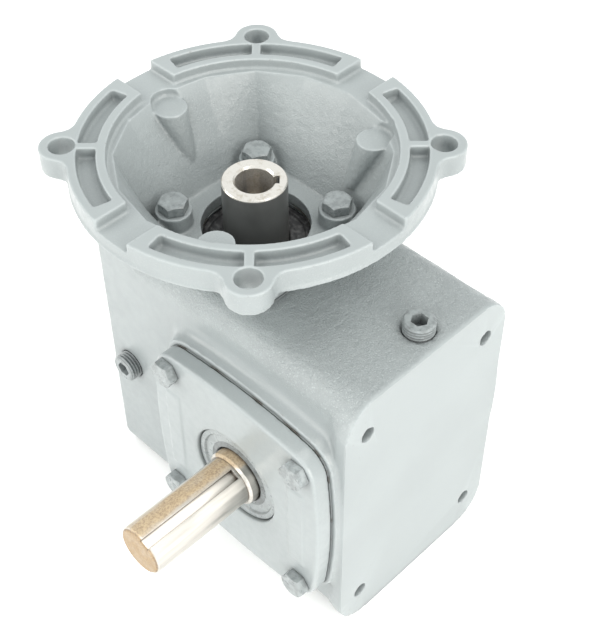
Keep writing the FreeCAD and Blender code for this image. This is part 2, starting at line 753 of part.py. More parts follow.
def draw_bell_foot(sketch, wall=0):
    """The bell at its floor: nearly square."""
    side = dim.bell_low_side + wall
    draw_bell_section(sketch, side, side * (1 / math.cos(math.pi / 8)), dim.bell_low_corner + wall)


def draw_bell_mouth(sketch, wall=0):
    """The bell at its top: nearly round."""
    reach = dim.bell_top_radius + wall
    draw_bell_section(sketch, reach, reach, reach)


def add_bell(body):
    """The bell: a wall that goes from nearly round at the top to square at the foot."""
    foot = plane_sketch(body, "foot", "XY_Plane", dim.box_height + dim.gasket_thickness)
    draw_rectangle(foot, -dim.base_half, dim.base_half, -dim.base_half, dim.base_half)
    add_pad(body, foot, dim.base_thickness)
    add_fillet(body, dim.base_round, is_foot_corner)
    ring_base = dim.flange_face - dim.flange_thickness
    low = plane_sketch(body, "bell_low", "XY_Plane", dim.bell_floor - 1)
    draw_bell_foot(low, dim.bell_wall_low)
    high = plane_sketch(body, "bell_high", "XY_Plane", ring_base + 1)
    draw_bell_mouth(high, dim.bell_wall_top)
    add_loft(body, low, high)


def add_ring(body):
    """The flange ring with its register, segments, pockets and ears."""
    ring_base = dim.flange_face - dim.flange_thickness
    ring = plane_sketch(body, "ring", "XZ_Plane")
    edge = dim.flange_radius
    draw_outline(ring, (
        (0, ring_base), (edge - 2, ring_base), (edge + 0.6, ring_base + 1),
        (edge + 0.6, ring_base + 2), (edge, ring_base + 2.6), (edge, dim.flange_face),
        (0, dim.flange_face),
    ))
    add_turned(body, ring)
    register = plane_sketch(body, "register", "XY_Plane", dim.flange_face - dim.register_depth)
    draw_circle(register, 0, 0, dim.register_radius)
    add_pocket(body, register, dim.register_depth)
    gap = plane_sketch(body, "gap", "XY_Plane", dim.flange_face - dim.register_depth)
    half = dim.gap_width / 2
    draw_rectangle(gap, 0, dim.flange_radius + 5, -half, half)
    add_polar(body, add_pocket(body, gap, dim.register_depth), gap)
    pocket = plane_sketch(body, "pocket", "XY_Plane", dim.flange_face - dim.pocket_depth)
    draw_sector(pocket, dim.pocket_inner, dim.pocket_outer, dim.pocket_half_angle)
    add_polar(body, add_pocket(body, pocket, dim.pocket_depth), pocket)


def add_ears(body):
    ear_height = dim.flange_thickness - 1
    ear = plane_sketch(body, "ear", "XY_Plane", dim.flange_face - ear_height)
    at = dim.ear_circle * INCLINE
    draw_ear(ear)
    add_polar(body, add_pad(body, ear, ear_height), ear)
    rib = plane_sketch(body, "rib", "XY_Plane", dim.flange_face - dim.pocket_depth)
    near, far = (dim.pocket_inner - 2) * INCLINE, dim.ear_circle * INCLINE
    half = dim.rib_width * (INCLINE / 2)
    draw_outline(rib, ((near - half, near + half), (near + half, near - half),
                       (far + half, far - half), (far - half, far + half)))
    add_polar(body, add_pad(body, rib, dim.pocket_depth), rib)
    hole = plane_sketch(body, "ear_hole", "XY_Plane", dim.flange_face - dim.flange_thickness - 1)
    draw_circle(hole, at, at, dim.ear_hole_radius)
    add_polar(body, add_pocket(body, hole, dim.flange_thickness + 2), hole)


def hollow_bell(body):
    """Cut the inside of the bell, then put back what stands on its floor."""
    low = plane_sketch(body, "inside_low", "XY_Plane", dim.bell_floor)
    draw_bell_foot(low)
    high = plane_sketch(body, "inside_high", "XY_Plane", dim.flange_face - dim.register_depth)
    draw_bell_mouth(high)
    add_loft(body, low, high, cut=True)
    boss = plane_sketch(body, "boss", "XY_Plane", dim.bell_floor - 1)
    draw_circle(boss, dim.foot_bolt_at, dim.foot_bolt_at, dim.foot_boss_radius)
    add_polar(body, add_pad(body, boss, dim.foot_boss_height + 1), boss)


def add_posts(body):
    """Three cast posts that taper down into the bell's wall, flat on top."""
    foot = plane_sketch(body, "post_foot", "XY_Plane", dim.post_bottom)
    draw_circle(foot, -dim.post_foot_circle, 0, dim.post_foot_radius)
    top = plane_sketch(body, "post_top", "XY_Plane", dim.post_top)
    draw_circle(top, -dim.post_circle, 0, dim.post_radius)
    add_polar(body, add_loft(body, foot, top), foot, POST_COUNT)
    seat = plane_sketch(body, "post_seat", "XY_Plane", dim.post_top)
    draw_circle(seat, -dim.post_circle, 0, dim.post_radius)
    rise = dim.flange_face - dim.post_top
    add_polar(body, add_pocket(body, seat, rise), seat, POST_COUNT)


def make_motor_flange():
    body = new_body("motor_flange")
    add_bell(body)
    add_ring(body)
    add_ears(body)
    hollow_bell(body)
    add_posts(body)
    throat = plane_sketch(body, "throat", "XY_Plane", dim.box_height - 1)
    draw_circle(throat, 0, 0, dim.throat_radius)
    add_pocket(body, throat, dim.flange_face - dim.box_height)
    hole = plane_sketch(body, "bolt_hole", "XY_Plane", dim.box_height - 1)
    draw_circle(hole, dim.foot_bolt_at, dim.foot_bolt_at, dim.clearance_radius)
    add_polar(body, add_pocket(body, hole, dim.bell_floor - dim.box_height + 10), hole)


def make_flange_gasket():
    body = new_body("flange_gasket")
    sheet_sketch = plane_sketch(body, "outline", "XY_Plane", dim.box_height)
    half = dim.base_half
    draw_rectangle(sheet_sketch, -half, half, -half, half)
    draw_circle(sheet_sketch, 0, 0, dim.throat_radius)
    at = dim.foot_bolt_at
    for x, y in ((at, at), (-at, at), (-at, -at), (at, -at)):
        draw_circle(sheet_sketch, x, y, dim.clearance_radius)
    add_pad(body, sheet_sketch, dim.gasket_thickness)
    add_fillet(body, dim.base_round, is_foot_corner)


# ---------------------------------------------------------------- covers


def add_bolt_holes(body, base, length):
    hole = plane_sketch(body, "bolt_hole", "XY_Plane", base)
    at = dim.cover_bolt_at
    for x, y in ((at, at), (-at, at), (-at, -at), (at, -at)):
        draw_circle(hole, x, y, dim.clearance_radius)
    add_pocket(body, hole, length)


def make_output_cover():
    """Plate, spigot and bearing housing; its Z is the distance from the mid plane."""
    body = new_body("output_cover")
    plate_base = dim.pad_face + dim.gasket_thickness
    face = plate_base + dim.cover_thickness
    plate = plane_sketch(body, "plate", "XY_Plane", plate_base)
    draw_cover_outline(plate)
    add_pad(body, plate, dim.cover_thickness)
    add_fillet(body, 1.5, lambda edge: abs(edge.BoundBox.ZMin - face.value) < 1e-3
               and edge.BoundBox.ZLength < 1e-3)
    add_spigot(body, plate_base)
    label = plane_sketch(body, "label", "XY_Plane", face - 1)
    at, half = dim.label_at, dim.label_width / 2
    for side in (-1, 1):
        middle = at * side
        draw_rectangle(label, middle - half, middle + half,
                       -dim.label_length / 2, dim.label_length / 2)
    add_pad(body, label, dim.label_height + 1)
    add_bolt_holes(body, plate_base - 1, dim.cover_thickness + 2)
    seal_base = face - dim.seal_recess - dim.seal_width
    bore = plane_sketch(body, "bore", "XZ_Plane")
    race = dim.output_race_radius + FIT_GAP
    seal = dim.output_seal_radius + FIT_GAP
    race_end = dim.hub_reach + dim.output_race_width
    wall = dim.journal_radius + 6
    draw_outline(bore, (
        (0, dim.hub_reach - 1), (race, dim.hub_reach - 1), (race, race_end), (wall, race_end),
        (wall, seal_base), (seal, seal_base), (seal, face - 0.6), (seal + 0.8, face + 0.2),
        (seal + 0.8, face + 1), (0, face + 1),
    ))
    add_turned(body, bore, cut=True)
    return at_output_axis(body, 0)


def add_spigot(body, plate_base):
    """The spigot that centres a cover, and the bearing housing inside it."""
    spigot = plane_sketch(body, "spigot", "XZ_Plane")
    inner = plate_base - dim.pilot_length
    draw_outline(spigot, (
        (0, dim.hub_reach), (dim.hub_radius - 1, dim.hub_reach),
        (dim.hub_radius, dim.hub_reach + 1), (dim.hub_radius, inner),
        (dim.pilot_radius - 1, inner), (dim.pilot_radius, inner + 1),
        (dim.pilot_radius, plate_base + 1), (0, plate_base + 1),
    ))
    add_turned(body, spigot)


def make_rear_cover():
    body = new_body("rear_cover")
    plate_base = dim.pad_face + dim.gasket_thickness
    face = plate_base + dim.rear_cover_thickness
    plate = plane_sketch(body, "plate", "XY_Plane", plate_base)
    draw_cover_outline(plate)
    add_pad(body, plate, dim.rear_cover_thickness)
    add_fillet(body, 1.2, lambda edge: abs(edge.BoundBox.ZMin - face.value) < 1e-3
               and edge.BoundBox.ZLength < 1e-3)
    add_spigot(body, plate_base)
    add_bolt_holes(body, plate_base - 1, dim.rear_cover_thickness + 2)
    bore = plane_sketch(body, "bore", "XZ_Plane")
    race = dim.output_race_radius + FIT_GAP
    race_end = dim.hub_reach + dim.output_race_width
    wall = dim.journal_radius + 6
    draw_outline(bore, (
        (0, dim.hub_reach - 1), (race, dim.hub_reach - 1), (race, race_end),
        (wall, race_end), (wall, race_end + 1), (0, race_end + 1),
    ))
    add_turned(body, bore, cut=True)
    return at_output_axis(body, 0, rear=True)


def make_cover_gasket(label, rear):
    body = new_body(label)
    outline = plane_sketch(body, "outline", "XY_Plane", dim.pad_face)
    draw_cover_outline(outline)
    add_pad(body, outline, dim.gasket_thickness)
    opening = plane_sketch(body, "opening", "XY_Plane", dim.pad_face)
    draw_circle(opening, 0, 0, dim.pilot_radius + FIT_GAP)
    add_pocket(body, opening, dim.gasket_thickness)
    add_bolt_holes(body, dim.pad_face, dim.gasket_thickness)
    return at_output_axis(body, 0, rear=rear)


# ---------------------------------------------------------------- shafts and gears


def make_output_shaft():
    """The output shaft, turned, with a keyway for the wheel and one at the free end."""
    tip, step = dim.output_end, dim.output_shoulder
    small, journal = dim.output_radius, dim.journal_radius
    seat, collar = dim.wheel_seat_radius, dim.wheel_collar_radius
    inner = dim.hub_reach - RUNNING_GAP
    snap = dim.wheel_hub_half + FIT_GAP
    body = turned_body("output_shaft", (
        (0, -dim.rear_journal_end), (journal - 1, -dim.rear_journal_end),
        (journal, 1 - dim.rear_journal_end), (journal, -inner), (seat, -inner),
        (seat, -snap - dim.ring_thickness), (seat - 1, -snap - dim.ring_thickness),
        (seat - 1, -snap), (seat, -snap), (seat, dim.wheel_hub_half),
        (collar, dim.wheel_hub_half), (collar, inner - 3), (journal + 1.5, inner - 3),
        (journal + 1.5, inner), (journal, inner), (journal, step - 1), (small + 0.6, step),
        (small, step), (small, tip - 1.2), (small - 1.2, tip), (0, tip),
    ))
    half = dim.key_width / 2
    wheel_key = plane_sketch(body, "wheel_keyway", "XY_Plane", -dim.wheel_hub_half)
    draw_rectangle(wheel_key, -half, half, seat - dim.key_depth, seat + 1)
    add_pocket(body, wheel_key, dim.wheel_hub_half * 2 - 2)
    keyway = plane_sketch(body, "keyway", "XY_Plane", tip - dim.output_key_length)
    turn = math.radians(dim.keyway_turn.value)
    cos, sin = math.cos(turn), math.sin(turn)
    near, far = small - dim.key_depth, small + 2
    draw_outline(keyway, (
        (near * cos - half * sin, near * sin + half * cos),
        (near * cos + half * sin, near * sin - half * cos),
        (far * cos + half * sin, far * sin - half * cos),
        (far * cos - half * sin, far * sin + half * cos),
    ))
    add_pocket(body, keyway, dim.output_key_length + 1)
    return at_output_axis(body, 0)


def make_wheel_key():
    body = new_body("wheel_key")
    outline = plane_sketch(body, "outline", "XY_Plane", -dim.wheel_hub_half + FIT_GAP)
    half = dim.key_width / 2 - FIT_GAP
    base = dim.wheel_seat_radius - dim.key_depth + FIT_GAP
    draw_rectangle(outline, -half, half, base, base + dim.key_width - 0.2)
    add_pad(body, outline, dim.wheel_hub_half * 2 - 2 - FIT_GAP * 2)
    return at_output_axis(body, 0)


def tooth_flank(base_radius, radius, half_angle):
    """Points up one flank of an involute tooth; `half_angle` is its half width there."""
    angle = math.acos(min(1, base_radius / radius))
    involute = math.tan(angle) - angle
    return half_angle - involute


def wheel_section(turn):
    """The worm wheel's toothed outline, turned by an angle, as one closed wire."""
    teeth = int(dim.wheel_teeth.value)
    pitch = dim.wheel_pitch_radius.value
    module = 2 * pitch / teeth
    pressure = math.radians(dim.pressure_angle.value)
    base = pitch * math.cos(pressure)
    tip, root = pitch + module, pitch - 1.25 * module
    slack = dim.gear_backlash.value / 2 / pitch
    half_pitch = math.pi / teeth / 2 - slack / 2 + math.tan(pressure) - pressure
    foot = max(root, base + 0.01)
    middle = (foot + tip) / 2
    swings = [tooth_flank(base, radius, half_pitch) for radius in (foot, middle, tip)]

    def point(radius, angle):
        return FreeCAD.Vector(radius * math.cos(angle), radius * math.sin(angle), 0)

    edges = []
    for tooth in range(teeth):
        centre = turn + 2 * math.pi * tooth / teeth
        following = centre + 2 * math.pi / teeth
        low, mid, top = swings
        up = [point(root, centre - low), point(foot, centre - low),
              point(middle, centre - mid), point(tip, centre - top)]
        down = [point(tip, centre + top), point(middle, centre + mid),
                point(foot, centre + low), point(root, centre + low)]
        next_root = point(root, following - low)
        edges.append(Part.LineSegment(up[0], up[1]).toShape())
        edges.append(Part.Arc(up[1], up[2], up[3]).toShape())
        edges.append(Part.Arc(up[3], point(tip, centre), down[0]).toShape())
        edges.append(Part.Arc(down[0], down[1], down[2]).toShape())
        edges.append(Part.LineSegment(down[2], down[3]).toShape())
        halfway = (centre + low + following - low) / 2
        edges.append(Part.Arc(down[3], point(root, halfway), next_root).toShape())
    return Part.Wire(edges)


def lead_angle():
    """The thread's slope at the worm's pitch line, in radians."""
    worm_pitch = dim.centre_distance.value - dim.wheel_pitch_radius.value
    module = 2 * dim.wheel_pitch_radius.value / dim.wheel_teeth.value
    return math.atan(module / (2 * worm_pitch))


def make_worm_wheel():
    """A bronze wheel with teeth that lean to suit the worm's lead, and a long hub."""
    half = dim.wheel_half_face.value
    lean = half * math.tan(lead_angle()) / dim.wheel_pitch_radius.value
    # A gap between teeth faces the worm when the worm's thread is half a turn away.
    start = math.pi + math.pi / dim.wheel_teeth.value
    sections = []
    for height, turn in ((-half, start - lean), (half, start + lean)):
        wire = wheel_section(turn)
        wire.translate(FreeCAD.Vector(0, 0, height))
        sections.append(wire)
    toothed = Part.makeLoft(sections, True, True)
    hub_half = dim.wheel_hub_half.value
    low = FreeCAD.Vector(0, 0, -hub_half)
    hub = Part.makeCylinder(dim.wheel_hub_radius.value, 2 * hub_half, low)
    bore = Part.makeCylinder(dim.wheel_seat_radius.value + FIT_GAP, 2 * hub_half + 2,
                             FreeCAD.Vector(0, 0, -hub_half - 1))
    key = dim.key_width.value
    slot = Part.makeBox(key, dim.wheel_seat_radius.value + key / 2 + 0.1, 2 * hub_half + 2,
                        FreeCAD.Vector(-key / 2, 0, -hub_half - 1))
    web = Part.makeCylinder(26, half, FreeCAD.Vector(0, 0, half - 2.5)).cut(
        Part.makeCylinder(dim.wheel_hub_radius.value + 1, half, FreeCAD.Vector(0, 0, half - 2.5)))
    other_web = web.mirror(FreeCAD.Vector(0, 0, 0), FreeCAD.Vector(0, 0, 1))
    shape = toothed.cut(web).cut(other_web).fuse(hub).cut(bore).cut(slot)
    wheel = doc.addObject("Part::Feature", "worm_wheel")
    wheel.Shape = shape.removeSplitter()
    return at_output_axis(wheel, 0)


def worm_thread():
    """The worm's single thread, swept along its helix as a closed solid."""
    pitch_radius = dim.centre_distance.value - dim.wheel_pitch_radius.value
    module = 2 * dim.wheel_pitch_radius.value / dim.wheel_teeth.value
    lead = math.pi * module
    slope = math.tan(math.radians(dim.pressure_angle.value))
    half_thick = lead / 4 - dim.gear_backlash.value / 4
    crest = pitch_radius + module
    root = dim.worm_core_radius.value - 0.3
    length = 2 * dim.worm_half_length.value
    low = dim.shaft_height.value - length / 2
    half_crest = half_thick - (crest - pitch_radius) * slope
    half_root = half_thick + (pitch_radius - root) * slope
    corners = [FreeCAD.Vector(root, 0, low - half_root), FreeCAD.Vector(crest, 0, low - half_crest),
               FreeCAD.Vector(crest, 0, low + half_crest), FreeCAD.Vector(root, 0, low + half_root)]
    profile = Part.makePolygon(corners + corners[:1])
    helix = Part.makeHelix(lead, length, pitch_radius)
    helix.translate(FreeCAD.Vector(0, 0, low))
    return Part.Wire(helix.Edges).makePipeShell([profile], True, True), lead, low


def make_worm_shaft():
    """The worm and its hollow input end, in one piece of steel."""
    top, core = dim.sleeve_top, dim.worm_core_radius
    upper, race_base = dim.upper_journal_radius, dim.upper_race_base
    lower, low_race = dim.lower_journal_radius, dim.lower_race_base
    low_top = low_race + dim.lower_race_width
    sleeve, bore = dim.sleeve_radius, dim.bore_radius
    profile = (
        (0, low_race - 2), (lower - 1, low_race - 2), (lower, low_race - 1), (lower, low_top),
        (core + 1, low_top), (core + 1, low_top + 3), (core, low_top + 4),
        (core, dim.bridge_top_base - 4), (upper, dim.bridge_top_base),
        (upper + 2.5, dim.bridge_top_base), (upper + 2.5, race_base), (upper, race_base),
        (upper, race_base + dim.upper_race_width), (sleeve, race_base + dim.upper_race_width + 1),
        (sleeve, top - 0.5), (sleeve - 0.5, top), (bore + 0.8, top), (bore, top - 0.8),
        (bore, dim.bore_bottom), (0, dim.bore_bottom - 3),
    )
    blank = turned_body("worm_shaft_blank", profile)
    keyway = plane_sketch(blank, "keyway", "XY_Plane", dim.bore_bottom)
    half = dim.key_width * (INCLINE / 2)
    far = (dim.bore_radius + dim.bore_key_depth) * INCLINE
    near = dim.bore_radius * (INCLINE / 2)
    draw_outline(keyway, ((near - half, near + half), (near + half, near - half),
                          (far + half, far - half), (far - half, far + half)))
    add_pocket(blank, keyway, top - dim.bore_bottom + 1)
    doc.recompute()
    thread, lead, low = worm_thread()
    span = dim.worm_half_length.value
    middle = dim.shaft_height.value
    crest_cut = Part.makeCylinder(30, 2 * span, FreeCAD.Vector(0, 0, middle - span))
    thread = thread.common(crest_cut)
    # The thread's phase puts a crest opposite the output axis at mid height.
    turns = (middle - low) / lead
    thread.rotate(FreeCAD.Vector(0, 0, 0), FreeCAD.Vector(0, 0, 1), -FULL_TURN * (turns % 1))
    shaft = doc.addObject("Part::Feature", "worm_shaft")
    shaft.Shape = blank.Shape.fuse(thread).removeSplitter()
    return shaft


# ---------------------------------------------------------------- bearings and seals


def ball_circle(name, pitch, height, radius):
    """Balls spaced round a circle, as one group."""
    count = int(dim.ball_count.value)
    group = doc.addObject("Part::Compound", name)
    members = []
    for i in range(count):
        angle = 2 * math.pi * i / count
        ball = doc.addObject("Part::Sphere", "%s_%d" % (name, i))
        bind(ball, "Radius", radius)
        bind(ball, "Placement.Base.x", pitch * math.cos(angle))
        bind(ball, "Placement.Base.y", pitch * math.sin(angle))
        bind(ball, "Placement.Base.z", height)
        members.append(ball)
    group.Links = members
    return group


def window_circle(name, near, height, radius, depth):
    """Round windows that point outwards, spaced like the balls, as one group."""
    count = int(dim.ball_count.value)
    group = doc.addObject("Part::Compound", name)
    members = []
    for i in range(count):
        angle = 2 * math.pi * i / count
        outwards = FreeCAD.Vector(math.cos(angle), math.sin(angle), 0)
        base = (near * outwards.x, near * outwards.y, height)
        members.append(tool_cylinder("%s_%d" % (name, i), radius, depth, base, outwards))
    group.Links = members
    return group


def race(label, inner, outer, base, width, pitch, ball):
    """A bearing ring with its ball groove."""
    body = turned_body(label, ring_profile(inner, outer, base, base + width))
    groove = plane_sketch(body, "groove", "XZ_Plane")
    draw_circle(groove, pitch, base + width / 2, ball + RUNNING_GAP)
    add_turned(body, groove, cut=True)
    return body


def make_bearing(name, bore, outer, width, ball, base):
    """A deep-groove ball bearing: two rings, the balls and the cage that spaces them."""
    pitch = (bore + outer) / 2
    middle = base + width / 2
    land = ball * 0.55
    inner_race = race(name + "_inner_race", bore + FIT_GAP, pitch - land, base, width, pitch, ball)
    outer_race = race(name + "_outer_race", pitch + land, outer, base, width, pitch, ball)
    balls = ball_circle(name + "_balls", pitch, middle, ball)
    side = ball + 1
    hoop = turned_body(name + "_hoop", ring_profile(
        pitch - land + 0.5, pitch + land - 0.5, middle - side, middle + side))
    windows = window_circle(name + "_windows", pitch - land, middle, ball + RUNNING_GAP, land * 2)
    cage = doc.addObject("Part::Cut", name + "_cage")
    cage.Base = hoop
    cage.Tool = windows
    return [inner_race, outer_race, balls, cage]


def make_output_bearings():
    for name, rear in (("output_bearing", False), ("rear_bearing", True)):
        pieces = make_bearing(name, dim.journal_radius, dim.output_race_radius,
                              dim.output_race_width, dim.output_ball_radius, dim.hub_reach)
        for piece in pieces:
            at_output_axis(piece, 0, rear=rear)


def make_input_bearings():
    make_bearing("upper_bearing", dim.upper_journal_radius, dim.upper_race_radius,
                 dim.upper_race_width, dim.upper_ball_radius, dim.upper_race_base)
    make_bearing("lower_bearing", dim.lower_journal_radius, dim.lower_race_radius,
                 dim.lower_race_width, dim.lower_ball_radius, dim.lower_race_base)


def make_seal(name, shaft, outer, base):
    """An oil seal: pressed case, rubber lip and the spring that closes the lip."""
    top = base + dim.seal_width
    lip_outer = shaft + 3.2
    case = turned_body(name + "_case", (
        (outer - 1.2, base), (outer, base), (outer, top - 0.5), (outer - 0.5, top),
        (outer - 2.6, top), (outer - 3.2, top - 0.9), (lip_outer + 1, top - 0.9),
        (lip_outer, top - 0.9), (lip_outer, top - 2.1), (outer - 1.2, top - 2.1),
    ))
    lip = turned_body(name + "_lip", (
        (shaft + 0.08, base + 2.6), (shaft + 1.6, base + 1), (lip_outer, base + 1.4),
        (lip_outer - 0.9, base + 2.6), (lip_outer - FIT_GAP, top - 2.4),
        (lip_outer - FIT_GAP, top - 0.9), (shaft + 0.9, top - 0.4), (shaft + 0.3, top - 0.9),
        (shaft + 1.5, top - 2.2), (shaft + 1.2, base + 4),
    ))
    spring = doc.addObject("Part::Torus", name + "_spring")
    bind(spring, "Radius1", lip_outer + 0.2)
    bind(spring, "Radius2", 0.6)
    bind(spring, "Placement.Base.z", base + 2.6)
    return [case, lip, spring]


def make_seals():
    output_base = (dim.pad_face + dim.gasket_thickness + dim.cover_thickness
                   - dim.seal_recess - dim.seal_width)
    for piece in make_seal("output_seal", dim.journal_radius, dim.output_seal_radius, output_base):
        if piece.isDerivedFrom("Part::Torus"):
            at_output_axis(piece, output_base + 2.6)
        else:
            at_output_axis(piece, 0)
    make_seal("input_seal", dim.sleeve_radius, dim.upper_race_radius, dim.input_seal_base)


def make_retaining_ring(label, inner, outer, base):
    """A snap ring: a flat ring with a gap between its two ends."""
    body = turned_body(label, ring_profile(inner, outer, base, base + dim.ring_thickness - 0.2))
    gap = plane_sketch(body, "gap", "XY_Plane", base - 1)
    draw_rectangle(gap, -3, 3, inner - 2, outer + 2)
    add_pocket(body, gap, dim.ring_thickness + 2)
    return body


def make_retaining_rings():
    groove = dim.ring_thickness
    lower = dim.lower_race_radius
    make_retaining_ring("lower_retaining_ring", lower - 2.2, lower + 1,
                        dim.lower_race_base - groove + 0.1)
    upper = dim.upper_race_radius
    make_retaining_ring("upper_retaining_ring", upper - 2.4, upper + 1,
                        dim.upper_race_base + dim.upper_race_width + 0.1)
    seat = dim.wheel_seat_radius
    ring = make_retaining_ring("wheel_retaining_ring", seat - 0.9, seat + 2.6,
                               -dim.wheel_hub_half - groove + 0.1)
    at_output_axis(ring, 0)


def make_bore_cap():
    """A pressed steel cap, flush with the base, that closes the lower bearing bore."""
    edge = dim.lower_race_radius
    turned_body("bore_cap", (
        (0, 0), (edge - 0.8, 0), (edge, 0.8), (edge, dim.bore_cap_height),
        (edge - 1.5, dim.bore_cap_height), (edge - 1.5, 1.5), (0, 1.5),
    ))


# ---------------------------------------------------------------- fasteners


def make_bolt(name, x, y, seat, length):
    """One hexagon-head bolt whose head rests at height `seat`, pointing down."""
    body = new_body(name)
    head = plane_sketch(body, "head", "XY_Plane")
    draw_hexagon(head, dim.head_flats)
    add_pad(body, head, dim.head_height)
    chamfer = plane_sketch(body, "chamfer", "XZ_Plane")
    flat = dim.head_flats * 0.48
    rim = dim.head_flats * 0.65
    drop = (rim - flat) * math.tan(math.radians(30))
    draw_outline(chamfer, ((flat, dim.head_height), (rim, dim.head_height),
                           (rim, dim.head_height - drop)))
    add_turned(body, chamfer, cut=True)
    shank = plane_sketch(body, "shank", "XY_Plane", -length)
    draw_circle(shank, 0, 0, dim.shank_radius)
    add_pad(body, shank, length)
    for axis, place in zip("xyz", (x, y, seat)):
        bind(body, "Placement.Base." + axis, place)
    return body


def make_bolts():
    at = dim.foot_bolt_at
    boss = dim.bell_floor + dim.foot_boss_height
    bolt = make_bolt("flange_bolt", at, at, boss, dim.bolt_length + 6)
    four_corners("flange_bolts", bolt)
    at = dim.cover_bolt_at
    face = dim.pad_face + dim.gasket_thickness + dim.cover_thickness
    bolt = make_bolt("cover_bolt", at, at, face, dim.bolt_length)
    at_output_axis(four_corners("output_cover_bolts", bolt), 0)
    face = dim.pad_face + dim.gasket_thickness + dim.rear_cover_thickness
    bolt = make_bolt("rear_bolt", at, at, face, dim.bolt_length - 4)
    at_output_axis(four_corners("rear_cover_bolts", bolt), 0, rear=True)


def make_plug(name, place, outwards):
    """A pipe plug with a hexagon socket; its thread is a row of rings."""
    top = dim.plug_stand_out
    crest, root, pitch = dim.plug_radius, dim.plug_root_radius, dim.plug_pitch
    base = top - dim.plug_length
    turns = int(dim.plug_length.value / dim.plug_pitch.value)
    profile = [(0, base), (root - 1, base)]
    for turn in range(turns, 0, -1):
        foot = top - pitch * turn
        profile += [(root, foot), (crest, foot + pitch * 0.4), (crest, foot + pitch * 0.5),
                    (root, foot + pitch * 0.9)]
    profile += [(root, top), (0, top)]
    body = turned_body(name, profile)
    socket = plane_sketch(body, "socket", "XY_Plane", top - dim.plug_socket_depth)
    draw_hexagon(socket, dim.plug_socket_flats)
    add_pocket(body, socket, dim.plug_socket_depth + 1)
    body.Placement.Rotation = FreeCAD.Rotation(FreeCAD.Vector(0, 0, 1), FreeCAD.Vector(*outwards))
    for axis, position in zip("xyz", place):
        bind(body, "Placement.Base." + axis, position)


def make_plugs():
    for name, place, outwards in plug_places():
        make_plug(name, place, outwards)


# ---------------------------------------------------------------- assembly

NODES = [
    "housing", "motor_flange", "flange_gasket", "flange_bolts",
    "output_cover", "output_cover_gasket", "output_cover_bolts",
    "rear_cover", "rear_cover_gasket", "rear_cover_bolts",
    "output_shaft", "wheel_key", "worm_wheel", "wheel_retaining_ring", "worm_shaft",
    "upper_retaining_ring", "lower_retaining_ring", "bore_cap",
    "fill_plug", "front_level_plug", "rear_level_plug", "drain_plug",
]
for bearing in ("output_bearing", "rear_bearing", "upper_bearing", "lower_bearing"):
    NODES += [bearing + part for part in ("_inner_race", "_outer_race", "_balls", "_cage")]
for seal in ("output_seal", "input_seal"):
    NODES += [seal + part for part in ("_case", "_lip", "_spring")]


def build():
    make_housing()
    make_motor_flange()
    make_flange_gasket()
    make_output_cover()
    make_rear_cover()
    make_cover_gasket("output_cover_gasket", rear=False)
    make_cover_gasket("rear_cover_gasket", rear=True)
    make_output_shaft()
    make_wheel_key()
    make_worm_wheel()
    make_worm_shaft()
    make_output_bearings()
    make_input_bearings()
    make_seals()
    make_retaining_rings()
    make_bore_cap()
    make_bolts()
    make_plugs()
    doc.recompute()


def check():
    """Stop if any object failed to build or any piece is empty or broken."""
    for thing in doc.Objects:
        if "Invalid" in thing.State or "Error" in thing.State:
            raise RuntimeError("%s failed: %s" % (thing.Name, thing.State))
    for name in NODES:
        shape = doc.getObjectsByLabel(name)[0].Shape
        if shape.isNull() or not shape.isValid() or not shape.Solids:
            raise RuntimeError("%s has no valid solid" % name)


def write():
    os.makedirs("parts", exist_ok=True)
    for name in NODES:
        shape = doc.getObjectsByLabel(name)[0].Shape
        shape.exportStep("parts/%s.step" % name)
        box = shape.BoundBox
        print("%-26s solids %d volume %9.1f  x %.1f..%.1f y %.1f..%.1f z %.1f..%.1f" % (
            name, len(shape.Solids), shape.Volume, box.XMin, box.XMax, box.YMin, box.YMax,
            box.ZMin, box.ZMax))


build()
check()
write()
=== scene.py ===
import math

import bpy
import numpy as np
from mathutils import Euler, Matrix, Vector, noise


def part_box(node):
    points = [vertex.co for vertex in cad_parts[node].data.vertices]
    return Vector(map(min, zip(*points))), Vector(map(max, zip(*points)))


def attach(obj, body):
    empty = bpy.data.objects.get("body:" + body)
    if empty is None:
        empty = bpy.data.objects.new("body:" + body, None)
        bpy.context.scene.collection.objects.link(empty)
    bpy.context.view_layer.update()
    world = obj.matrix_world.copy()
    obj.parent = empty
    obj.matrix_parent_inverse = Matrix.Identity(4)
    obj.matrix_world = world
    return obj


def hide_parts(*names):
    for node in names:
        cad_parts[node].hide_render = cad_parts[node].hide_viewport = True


# A worm gear reducer on a pale floor. The castings are re-skinned from their CAD shapes,
# with softened edges and a sand-cast surface under the paint. The other CAD pieces keep
# their shapes and get their own finishes.

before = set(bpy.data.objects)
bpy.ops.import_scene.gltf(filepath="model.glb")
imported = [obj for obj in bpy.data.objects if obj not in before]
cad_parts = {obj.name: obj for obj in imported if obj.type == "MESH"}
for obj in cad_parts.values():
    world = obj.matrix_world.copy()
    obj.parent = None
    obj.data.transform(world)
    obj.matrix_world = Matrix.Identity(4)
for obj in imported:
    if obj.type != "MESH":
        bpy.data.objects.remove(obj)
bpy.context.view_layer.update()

MM = 0.001

CAMERA_AT = (0.2928, -0.2672, 0.5017)
CAMERA_TURN = (44.16, 0.18, 44.63)  # degrees
LENS = 73.23
SENSOR = 36

PAINT = (0.270, 0.296, 0.300)
STEEL = (0.60, 0.575, 0.535)
RUST = (0.38, 0.24, 0.12)
GOLDEN_RUST = (0.47, 0.355, 0.205)
TIP_RUST = (0.36, 0.24, 0.110)
CREVICE_SHADE = (0.06, 0.045, 0.03)
BARE_IRON = (0.14, 0.13, 0.12)

SKY_COLOUR = (0.965, 0.997, 1)
SKY_STRENGTH = 1.12
LAMP_COLOUR = (1.0, 0.97, 0.925)
FLOOR_REACH = 8.0

